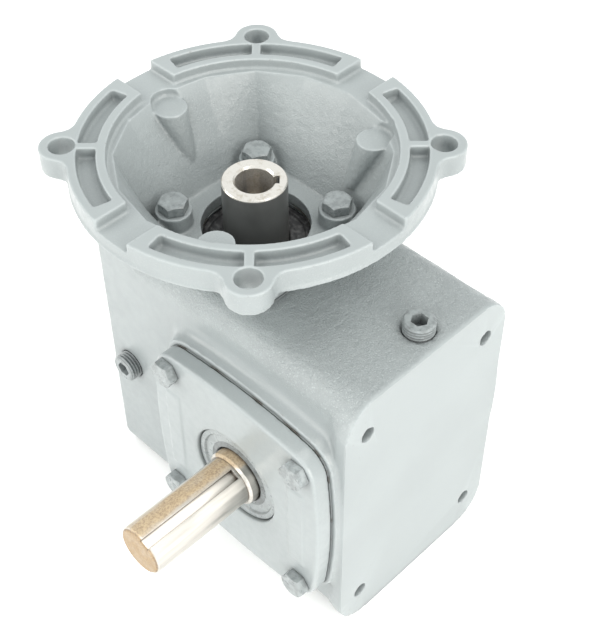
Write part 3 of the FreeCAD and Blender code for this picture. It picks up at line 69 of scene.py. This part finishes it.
# The output shaft: its radius at the free end, and where its band of rust lies, in degrees
# from +X towards +Z.
SHAFT_RADIUS = 11.11 * MM
RUSTY_SIDE = 104

# The relief that the sand mould leaves on a casting: heights in millimetres, pitches per metre.
WAVE_HEIGHT = 0.06
WAVE_PITCH = 45
GRAIN_HEIGHT = 0.2
GRAIN_PITCH = 470
SKIN_INSET = 0.12


# ---------------------------------------------------------------- shader helpers


class Shader:
    """A material under construction: short names for its nodes and links."""

    def __init__(self, name):
        self.material = bpy.data.materials.new(name)
        self.material.use_nodes = True
        self.nodes = self.material.node_tree.nodes
        self.links = self.material.node_tree.links
        self.surface = self.nodes["Principled BSDF"]
        self.place = self.add("ShaderNodeTexCoord").outputs["Object"]

    def add(self, kind, **settings):
        node = self.nodes.new(kind)
        for name, value in settings.items():
            setattr(node, name, value)
        return node

    def feed(self, socket, value):
        """Link a socket to another node's output, or set it to a constant."""
        if isinstance(value, bpy.types.NodeSocket):
            self.links.new(value, socket)
        else:
            socket.default_value = value

    def math(self, operation, *values):
        node = self.add("ShaderNodeMath", operation=operation)
        for socket, value in zip(node.inputs, values):
            self.feed(socket, value)
        return node.outputs[0]

    def noise(self, scale, detail=3.0, roughness=0.5, place=None):
        node = self.add("ShaderNodeTexNoise")
        self.feed(node.inputs["Vector"], place or self.place)
        node.inputs["Scale"].default_value = scale
        node.inputs["Detail"].default_value = detail
        node.inputs["Roughness"].default_value = roughness
        return node.outputs["Fac"]

    def stretched(self, scale):
        """The object's own coordinates, scaled by a different amount along each axis."""
        node = self.add("ShaderNodeMapping")
        self.feed(node.inputs["Vector"], self.place)
        node.inputs["Scale"].default_value = scale
        return node.outputs[0]

    def ramp(self, value, low, high):
        """0 below `low`, 1 above `high`, smooth between; swap them to turn it round."""
        node = self.add("ShaderNodeMapRange", interpolation_type="SMOOTHSTEP")
        self.feed(node.inputs["Value"], value)
        node.inputs["From Min"].default_value = low
        node.inputs["From Max"].default_value = high
        return node.outputs[0]

    def mix(self, share, first, second):
        """The first colour where `share` is 0, the second where it is 1."""
        node = self.add("ShaderNodeMix", data_type="RGBA")
        self.feed(node.inputs["Factor"], share)
        self.feed(node.inputs[6], (*first, 1) if isinstance(first, tuple) else first)
        self.feed(node.inputs[7], (*second, 1) if isinstance(second, tuple) else second)
        return node.outputs[2]

    def blend(self, share, first, second):
        """The same as `mix`, for plain values."""
        node = self.add("ShaderNodeMix", data_type="FLOAT")
        self.feed(node.inputs["Factor"], share)
        self.feed(node.inputs[2], first)
        self.feed(node.inputs[3], second)
        return node.outputs[0]

    def attribute(self, name):
        """A value stored on the mesh's points."""
        return self.add("ShaderNodeAttribute", attribute_name=name).outputs["Fac"]

    def axes(self):
        """The object's own x, y and z."""
        node = self.add("ShaderNodeSeparateXYZ")
        self.feed(node.inputs[0], self.place)
        return node.outputs

    def bump(self, height, distance, normal=None, strength=1.0):
        node = self.add("ShaderNodeBump")
        node.inputs["Distance"].default_value = distance
        self.feed(node.inputs["Strength"], strength)
        self.feed(node.inputs["Height"], height)
        if normal is not None:
            self.feed(node.inputs["Normal"], normal)
        return node.outputs[0]

    def soft_edges(self, radius):
        """A normal that rounds the shape's sharp edges off."""
        node = self.add("ShaderNodeBevel", samples=4)
        node.inputs["Radius"].default_value = radius
        return node.outputs[0]

    def crevice(self, distance):
        """1 in the open, towards 0 in corners and gaps."""
        node = self.add("ShaderNodeAmbientOcclusion", samples=8)
        node.inputs["Distance"].default_value = distance
        return node.outputs["AO"]

    def finish(self, **sockets):
        """Set the surface's sockets, named with _ for a space, and return the material."""
        for name, value in sockets.items():
            if isinstance(value, tuple):
                value = (*value, 1)
            self.feed(self.surface.inputs[name.replace("_", " ")], value)
        return self.material


# ---------------------------------------------------------------- materials


def tinted(colour, amount):
    """A lighter or darker shade of a colour."""
    return tuple(min(1.0, c * amount) for c in colour)


def cast_paint(name, colour, grain, wear=0.5):
    """Machine enamel over sand-cast iron. `grain` is how far the sand shows through."""
    s = Shader(name)
    sand = s.attribute("sand")
    cloud = s.ramp(s.noise(22, 5), 0.35, 0.65)
    cloudy = s.mix(cloud, tinted(colour, 0.92), tinted(colour, 1.08))
    colour_out = s.mix(s.blend(sand, 0.3, 1.0), colour, cloudy)
    speckle = s.ramp(s.noise(1700, 2), 0.56, 0.72)
    glint = s.math("MULTIPLY", speckle, s.blend(sand, 0.05, 0.7))
    colour_out = s.mix(glint, colour_out, tinted(colour, 1.5))
    # Painted shade: corners and gaps within 5 mm darkened, by an amount that noise varies from
    # place to place.
    open_air = s.ramp(s.crevice(5 * MM), 0.35, 0.95)
    shade_depth_noise = s.ramp(s.noise(130, 6), 0.3, 0.7)
    shaded = s.math("MULTIPLY", s.math("SUBTRACT", 1.0, open_air), s.blend(shade_depth_noise, 0.28, 0.55))
    colour_out = s.mix(shaded, colour_out, tinted(colour, 0.34))
    point = s.add("ShaderNodeNewGeometry").outputs["Pointiness"]
    edge = s.ramp(point, 0.508, 0.55)
    chips = s.ramp(s.noise(420, 6, 0.7), 0.60, 0.66)
    bare = s.math("MULTIPLY", s.math("MULTIPLY", edge, chips), wear)
    # Convex edges lightened: a painted highlight, with the paint also worn thin there.
    colour_out = s.mix(s.math("MULTIPLY", edge, 0.35), colour_out, tinted(colour, 1.5))
    colour_out = s.mix(bare, colour_out, BARE_IRON)
    pebble = s.noise(1250, 3, 0.6)
    skin = s.noise(160, 5, 0.6)
    normal = s.bump(skin, 0.45 * MM, strength=s.blend(sand, 0.015 * grain, 0.32 * grain))
    normal = s.bump(pebble, 0.6 * MM, normal, s.blend(sand, 0.03 * grain, grain))
    normal = s.bump(s.noise(2300, 2), 0.05 * MM, normal, 0.35)
    rough = s.blend(s.ramp(s.noise(240, 5), 0.3, 0.7), 0.28, 0.44)
    rough = s.blend(s.ramp(sand, 0.0, 0.1), 0.40, rough)
    rough = s.blend(shaded, rough, 0.6)
    return s.finish(Base_Color=colour_out, Roughness=rough, Normal=normal,
                    Coat_Weight=0.25, Coat_Roughness=0.18)


def painted_steel(name, colour, edge_radius=0.35, mottled=0.24):
    """Enamel on a turned or headed piece, thin and a little worn on its edges."""
    s = Shader(name)
    cloud = s.ramp(s.noise(330, 5, 0.6), 0.38, 0.62)
    colour_out = s.mix(cloud, tinted(colour, 1 - mottled), tinted(colour, 1.1))
    open_air = s.ramp(s.crevice(3 * MM), 0.3, 0.95)
    shaded = s.math("MULTIPLY", s.math("SUBTRACT", 1.0, open_air), 0.8)
    colour_out = s.mix(shaded, colour_out, tinted(colour, 0.3))
    scuff = s.ramp(s.noise(700, 5, 0.65), 0.62, 0.68)
    colour_out = s.mix(s.math("MULTIPLY", scuff, 0.35), colour_out, (0.17, 0.165, 0.16))
    normal = s.bump(s.noise(900, 3), 0.06 * MM, s.soft_edges(edge_radius * MM), 0.5)
    normal = s.bump(s.noise(260, 3), 0.12 * MM, normal, 0.4)
    rough = s.blend(s.ramp(s.noise(420, 4), 0.3, 0.7), 0.24, 0.46)
    return s.finish(Base_Color=colour_out, Roughness=rough, Normal=normal,
                    Coat_Weight=0.2, Coat_Roughness=0.2)


def shaft_steel():
    """Turned bar: fine rings round it, a band of rust along its top and rust on its end."""
    s = Shader("turned_shaft_steel")
    low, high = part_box("output_shaft")
    x, y, z = s.axes()
    centre = (low + high) / 2
    right = s.math("DIVIDE", s.math("SUBTRACT", x, centre.x), SHAFT_RADIUS)
    up = s.math("DIVIDE", s.math("SUBTRACT", z, centre.z), SHAFT_RADIUS)
    rusty_side = math.radians(RUSTY_SIDE)
    facing = s.math("ADD", s.math("MULTIPLY", right, math.cos(rusty_side)),
                    s.math("MULTIPLY", up, math.sin(rusty_side)))
    streaks = s.noise(1, 6, 0.62, s.stretched((330, 45, 330)))
    band = s.ramp(s.math("ADD", facing, s.math("MULTIPLY", streaks, 0.3)), 0.98, 1.13)
    patches = s.ramp(s.noise(1, 7, 0.66, s.stretched((140, 60, 140))), 0.32, 0.56)
    film = s.math("MULTIPLY", band, s.blend(patches, 0.7, 1.0))
    tip = s.ramp(y, low.y + 0.9 * MM, low.y + 0.4 * MM)
    tip_rust = s.math("MULTIPLY", tip, s.blend(s.ramp(s.noise(200, 6, 0.6), 0.25, 0.6), 0.75, 1.0))
    rust = s.math("MAXIMUM", film, tip_rust)
    tone = s.ramp(s.noise(1, 4, 0.5, s.stretched((500, 30, 500))), 0.3, 0.7)
    steel = s.mix(tone, tinted(STEEL, 0.86), tinted(STEEL, 1.1))
    rust_tone = s.ramp(s.noise(1100, 6, 0.65), 0.30, 0.62)
    rusty = s.mix(rust_tone, tinted(RUST, 0.62), s.mix(tip, GOLDEN_RUST, TIP_RUST))
    colour = s.mix(s.math("MULTIPLY", rust, 0.86), steel, rusty)
    reach = s.math("SQRT", s.math("ADD", s.math("MULTIPLY", right, right),
                                  s.math("MULTIPLY", up, up)))
    rim = s.math("MULTIPLY", tip, s.ramp(reach, 0.88, 0.95))
    rim = s.math("MULTIPLY", rim, s.ramp(s.noise(260, 5, 0.6), 0.35, 0.6))
    colour = s.mix(s.math("MULTIPLY", rim, 0.7), colour, (0.11, 0.075, 0.04))
    # Painted shade: corners and gaps within 2.5 mm darkened to a dark brown.
    open_air = s.ramp(s.crevice(2.5 * MM), 0.3, 0.9)
    colour = s.mix(s.math("SUBTRACT", 1.0, open_air), colour, CREVICE_SHADE)
    rings = s.noise(1, 2, 0.5, s.stretched((12, 5200, 12)))
    normal = s.bump(rings, 0.02 * MM, s.soft_edges(0.3 * MM), 0.5)
    pits = s.noise(900, 5, 0.7)
    normal = s.bump(pits, 0.12 * MM, normal, s.blend(rust, 0.06, 0.8))
    rough = s.blend(rust, s.blend(tone, 0.30, 0.42), 0.66)
    metal = s.blend(rust, 1.0, 0.25)
    return s.finish(Base_Color=colour, Metallic=metal, Roughness=rough, Normal=normal)


def quill_steel():
    """The hollow worm shaft: blackened outside, bright on its end and in its bore."""
    s = Shader("blackened_quill_steel")
    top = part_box("worm_shaft")[1].z
    x, y, z = s.axes()
    reach = s.math("SQRT", s.math("ADD", s.math("MULTIPLY", x, x), s.math("MULTIPLY", y, y)))
    end = s.ramp(z, top - 0.95 * MM, top - 0.7 * MM)
    bore = s.ramp(reach, 9.6 * MM, 9.0 * MM)
    bright = s.math("MAXIMUM", end, bore)
    stain = s.ramp(s.noise(300, 6, 0.65), 0.5, 0.68)
    steel = s.mix(s.math("MULTIPLY", stain, 0.4), tinted(STEEL, 1.15), (0.40, 0.34, 0.25))
    black = s.mix(s.noise(90, 5), (0.11, 0.112, 0.108), (0.17, 0.17, 0.165))
    colour = s.mix(bright, black, steel)
    turned = s.noise(1, 2, 0.5, s.stretched((14, 14, 3800)))
    normal = s.bump(turned, 0.02 * MM, s.soft_edges(0.25 * MM), 0.6)
    scratches = s.noise(1300, 4, 0.6)
    normal = s.bump(scratches, 0.03 * MM, normal, 0.35)
    rough = s.blend(bright, 0.42, 0.2)
    metal = s.blend(bright, 0.4, 0.8)
    return s.finish(Base_Color=colour, Metallic=metal, Roughness=rough, Normal=normal)


def ground_steel(name, colour, roughness):
    """Ground or pressed steel of the pieces inside, with a thin film of oil."""
    s = Shader(name)
    tone = s.ramp(s.noise(240, 5), 0.3, 0.7)
    colour_out = s.mix(tone, tinted(colour, 0.85), tinted(colour, 1.08))
    normal = s.bump(s.noise(1800, 3), 0.02 * MM, s.soft_edges(0.2 * MM), 0.5)
    rough = s.blend(tone, roughness * 0.8, roughness * 1.3)
    return s.finish(Base_Color=colour_out, Metallic=1.0, Roughness=rough, Normal=normal)


def gear_bronze():
    """Cast bronze with the hob's fine marks."""
    s = Shader("gear_bronze")
    tone = s.ramp(s.noise(120, 6, 0.6), 0.35, 0.65)
    colour = s.mix(tone, (0.50, 0.30, 0.11), (0.72, 0.48, 0.22))
    marks = s.noise(1, 3, 0.5, s.stretched((60, 2600, 60)))
    normal = s.bump(marks, 0.03 * MM, s.soft_edges(0.2 * MM), 0.5)
    rough = s.blend(tone, 0.26, 0.4)
    return s.finish(Base_Color=colour, Metallic=1.0, Roughness=rough, Normal=normal)


def seal_rubber():
    """Black rubber with a pale bloom."""
    s = Shader("seal_rubber")
    bloom = s.ramp(s.noise(500, 5), 0.45, 0.7)
    colour = s.mix(bloom, (0.030, 0.030, 0.031), (0.09, 0.09, 0.09))
    normal = s.bump(s.noise(1500, 3), 0.04 * MM, s.soft_edges(0.2 * MM), 0.5)
    rough = s.blend(bloom, 0.32, 0.55)
    return s.finish(Base_Color=colour, Roughness=rough, Normal=normal)


def gasket_fibre():
    """Gasket paper, with the enamel run over most of its edge."""
    s = Shader("gasket_fibre")
    fibre = s.noise(1, 5, 0.7, s.stretched((900, 900, 2500)))
    colour = s.mix(s.ramp(fibre, 0.35, 0.65), (0.035, 0.033, 0.030), (0.10, 0.095, 0.085))
    covered = s.ramp(s.noise(75, 4), 0.42, 0.52)
    colour = s.mix(covered, colour, tinted(PAINT, 0.62))
    normal = s.bump(fibre, 0.06 * MM, strength=0.7)
    return s.finish(Base_Color=colour, Roughness=0.85, Normal=normal)


# ---------------------------------------------------------------- castings


def smooth_step(value, low, high):
    """0 below `low`, 1 above `high`, smooth between."""
    share = np.clip((value - low) / (high - low), 0, 1)
    return share * share * (3 - 2 * share)


def applied(piece):
    """Bake the piece's modifiers into its mesh."""
    graph = bpy.context.evaluated_depsgraph_get()
    mesh = bpy.data.meshes.new_from_object(piece.evaluated_get(graph))
    piece.modifiers.clear()
    piece.data = mesh
    return mesh


def read_points(values, name):
    """One vector for each point of a mesh, as rows of x, y and z."""
    flat = np.empty(len(values) * 3, np.float32)
    values.foreach_get(name, flat)
    return flat.reshape(-1, 3)


def points_of(mesh):
    return read_points(mesh.vertices, "co")


def normals_of(mesh):
    return read_points(mesh.vertex_normals, "vector")


def bare_copy(node):
    """A new object with a CAD node's mesh and no material."""
    piece = bpy.data.objects.new(node + "_skin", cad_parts[node].data.copy())
    bpy.context.collection.objects.link(piece)
    piece.data.materials.clear()
    return piece


def smoothed(piece, rounds, group=""):
    """Soften the piece's edges, all of them or only those in a vertex group."""
    soften = piece.modifiers.new("soften", "SMOOTH")
    soften.factor = 0.5
    soften.iterations = rounds
    soften.vertex_group = group
    return applied(piece)


def softened(piece, voxel, rounds, machined):
    """Even the mesh out, then round the edges that no tool has cut."""
    remesh = piece.modifiers.new("voxels", "REMESH")
    remesh.mode = "VOXEL"
    remesh.voxel_size = voxel * MM
    mesh = smoothed(piece, 1)
    as_cast = np.nonzero(machined(points_of(mesh)) < 0.5)[0]
    piece.vertex_groups.new(name="as_cast").add(as_cast.tolist(), 1.0, "REPLACE")
    return smoothed(piece, rounds, "as_cast")


def add_relief(mesh, box, sand, machined):
    """Move the points by the sand mould's waves and grains, and keep them inside the box."""
    at = points_of(mesh)
    out = normals_of(mesh)
    waves = np.array([noise.noise(Vector(p * WAVE_PITCH)) for p in at])
    grains = np.array([noise.noise(Vector(p * GRAIN_PITCH)) for p in at])
    relief = WAVE_HEIGHT * waves + GRAIN_HEIGHT * grains * sand(at)
    height = relief * MM * (1 - machined(at)) - SKIN_INSET * MM
    low, high = (np.array(corner) for corner in box)
    moved = np.clip(at + out * height[:, None], low, high)
    mesh.vertices.foreach_set("co", moved.astype(np.float32).ravel())
    mesh.update()


def thinned(piece, triangles):
    """Bring the piece down to a number of triangles, with normals that keep flat faces flat."""
    faces = sum(len(p.vertices) - 2 for p in piece.data.polygons)
    thin = piece.modifiers.new("thin", "DECIMATE")
    thin.ratio = min(1.0, triangles / faces)
    applied(piece).shade_smooth()
    even = piece.modifiers.new("even", "WEIGHTED_NORMAL")
    even.weight = 80
    return applied(piece)


def casting(node, voxel, triangles, sand, machined, rounds=4):
    """A casting's skin made from its CAD node: edges softened, sand-cast unevenness added.

    `sand` and `machined` take the points and say, from 0 to 1, how rough the sand left each
    one and whether a tool has since cut it flat.
    """
    piece = bare_copy(node)
    mesh = softened(piece, voxel, rounds, machined)
    add_relief(mesh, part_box(node), sand, machined)
    mesh = thinned(piece, triangles)
    at = points_of(mesh)
    attribute = mesh.attributes.new("sand", "FLOAT", "POINT")
    attribute.data.foreach_set("value", (sand(at) * (1 - machined(at))).astype(np.float32))
    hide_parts(node)
    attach(piece, "case")
    return piece


def housing_sand(at):
    """Rough along the upper long edges and on the top, smooth on the sides."""
    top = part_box("housing")[1].z
    return 0.15 + 0.85 * smooth_step(at[:, 2], top - 16 * MM, top - 6 * MM)


def housing_machined(at):
    """The mounting face, and the pads that the two covers sit on."""
    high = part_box("housing")[1]
    face = smooth_step(at[:, 0], high.x - 2.6 * MM, high.x - 0.8 * MM)
    pads = smooth_step(np.abs(at[:, 1]), high.y - 0.8 * MM, high.y - 0.3 * MM)
    return np.maximum(face, pads)


def flange_sand(at):
    """Rough inside and outside the bell, less so on the ring."""
    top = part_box("motor_flange")[1].z
    return 0.55 - 0.35 * smooth_step(at[:, 2], top - 12 * MM, top - 6 * MM)


def flange_machined(at):
    """The top faces of the ring's segments."""
    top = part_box("motor_flange")[1].z
    return smooth_step(at[:, 2], top - 0.9 * MM, top - 0.4 * MM)


def cover_sand(at):
    """A cover is nearly smooth all over."""
    return np.full(len(at), 0.12)


def cover_machined(at):
    """No outer face of a cover is cut by a tool."""
    return np.zeros(len(at))


def paint_pieces():
    """Every finish, on the castings' skins and on the CAD nodes that stay."""
    enamel = cast_paint("cast_enamel", PAINT, 1.0)
    smooth_enamel = cast_paint("smooth_cast_enamel", tinted(PAINT, 1.04), 0.5)
    skins = (
        (casting("housing", 0.75, 180000, housing_sand, housing_machined), enamel),
        (casting("motor_flange", 0.6, 180000, flange_sand, flange_machined, 2), enamel),
        (casting("output_cover", 0.6, 110000, cover_sand, cover_machined, 2), smooth_enamel),
        (casting("rear_cover", 0.7, 80000, cover_sand, cover_machined), smooth_enamel),
    )
    for piece, material in skins:
        piece.data.materials.append(material)
    plug_paint = painted_steel("plug_enamel", tinted(PAINT, 0.85), 0.12)
    bolt_paint = painted_steel("bolt_enamel", tinted(PAINT, 0.92), 0.4)
    race = ground_steel("ground_race_steel", (0.62, 0.63, 0.65), 0.2)
    ball = ground_steel("polished_ball_steel", (0.75, 0.76, 0.78), 0.08)
    sheet = ground_steel("pressed_cage_steel", (0.5, 0.5, 0.48), 0.35)
    spring = ground_steel("oiled_spring_steel", (0.12, 0.12, 0.13), 0.35)
    key = ground_steel("key_steel", (0.45, 0.44, 0.42), 0.3)
    rubber, gasket = seal_rubber(), gasket_fibre()
    finishes = {
        "output_shaft": shaft_steel(), "worm_shaft": quill_steel(), "worm_wheel": gear_bronze(),
        "output_seal_case": painted_steel("seal_case_enamel", PAINT, 0.3, 0.08),
        "output_seal_lip": painted_steel("seal_lip_enamel", tinted(PAINT, 0.55), 0.2, 0.3),
        "bore_cap": painted_steel("cap_enamel", PAINT, 0.3),
        "input_seal_case": rubber, "input_seal_lip": rubber,
        "wheel_key": key,
    }
    endings = (("_plug", plug_paint), ("_bolts", bolt_paint), ("_race", race), ("_balls", ball),
               ("_cage", sheet), ("_spring", spring), ("_retaining_ring", spring),
               ("_gasket", gasket))
    for name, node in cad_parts.items():
        finish = finishes.get(name)
        for ending, material in endings:
            if name.endswith(ending):
                finish = material
        if finish is not None:
            node.data.materials.clear()
            node.data.materials.append(finish)


# ---------------------------------------------------------------- stage


def make_floor():
    """A seamless pale floor, wide enough to fill the view from any side."""
    mesh = bpy.data.meshes.new("floor")
    ends = ((-1, -1), (1, -1), (1, 1), (-1, 1))
    mesh.from_pydata([(x * FLOOR_REACH, y * FLOOR_REACH, 0) for x, y in ends], [], [(0, 1, 2, 3)])
    floor = bpy.data.objects.new("floor", mesh)
    bpy.context.collection.objects.link(floor)
    s = Shader("floor_paper")
    tone = s.mix(s.noise(3, 2), (0.93, 0.93, 0.93), (0.95, 0.95, 0.95))
    mesh.materials.append(s.finish(Base_Color=tone, Roughness=0.8))


def make_light(name, place, size, power, target=(0.02, 0, 0.1)):
    """A softbox of a width and height in metres and a power in watts, aimed at a point."""
    data = bpy.data.lights.new(name, "AREA")
    data.shape = "RECTANGLE"
    data.size, data.size_y = size
    data.energy = power
    data.color = LAMP_COLOUR
    light = bpy.data.objects.new(name, data)
    light.location = place
    aim = Vector(target) - Vector(place)
    light.rotation_euler = aim.to_track_quat("-Z", "Y").to_euler()
    bpy.context.collection.objects.link(light)


def make_studio():
    """Even pale light from all round, with four softboxes to shape it."""
    world = bpy.data.worlds.new("studio")
    world.use_nodes = True
    sky = world.node_tree.nodes["Background"]
    sky.inputs["Color"].default_value = (*SKY_COLOUR, 1)
    sky.inputs["Strength"].default_value = SKY_STRENGTH
    scene = bpy.context.scene
    scene.world = world
    scene.view_settings.view_transform = "Standard"
    make_light("front_softbox", (-0.1, -1.3, 0.55), (1.0, 0.8), 7.5)
    make_light("right_softbox", (1.3, -0.25, 0.5), (0.9, 0.8), 12.5)
    make_light("overhead_softbox", (0.45, 0.25, 1.5), (1.1, 1.1), 11)
    make_light("left_softbox", (-0.95, -0.75, 0.85), (0.7, 0.7), 6)


def make_camera():
    data = bpy.data.cameras.new("camera")
    data.lens = LENS
    data.sensor_width = SENSOR
    data.clip_start = 0.01
    data.clip_end = 50
    camera = bpy.data.objects.new("camera", data)
    camera.location = CAMERA_AT
    camera.rotation_euler = Euler([math.radians(a) for a in CAMERA_TURN])
    bpy.context.collection.objects.link(camera)
    bpy.context.scene.camera = camera


paint_pieces()
make_floor()
make_studio()
make_camera()
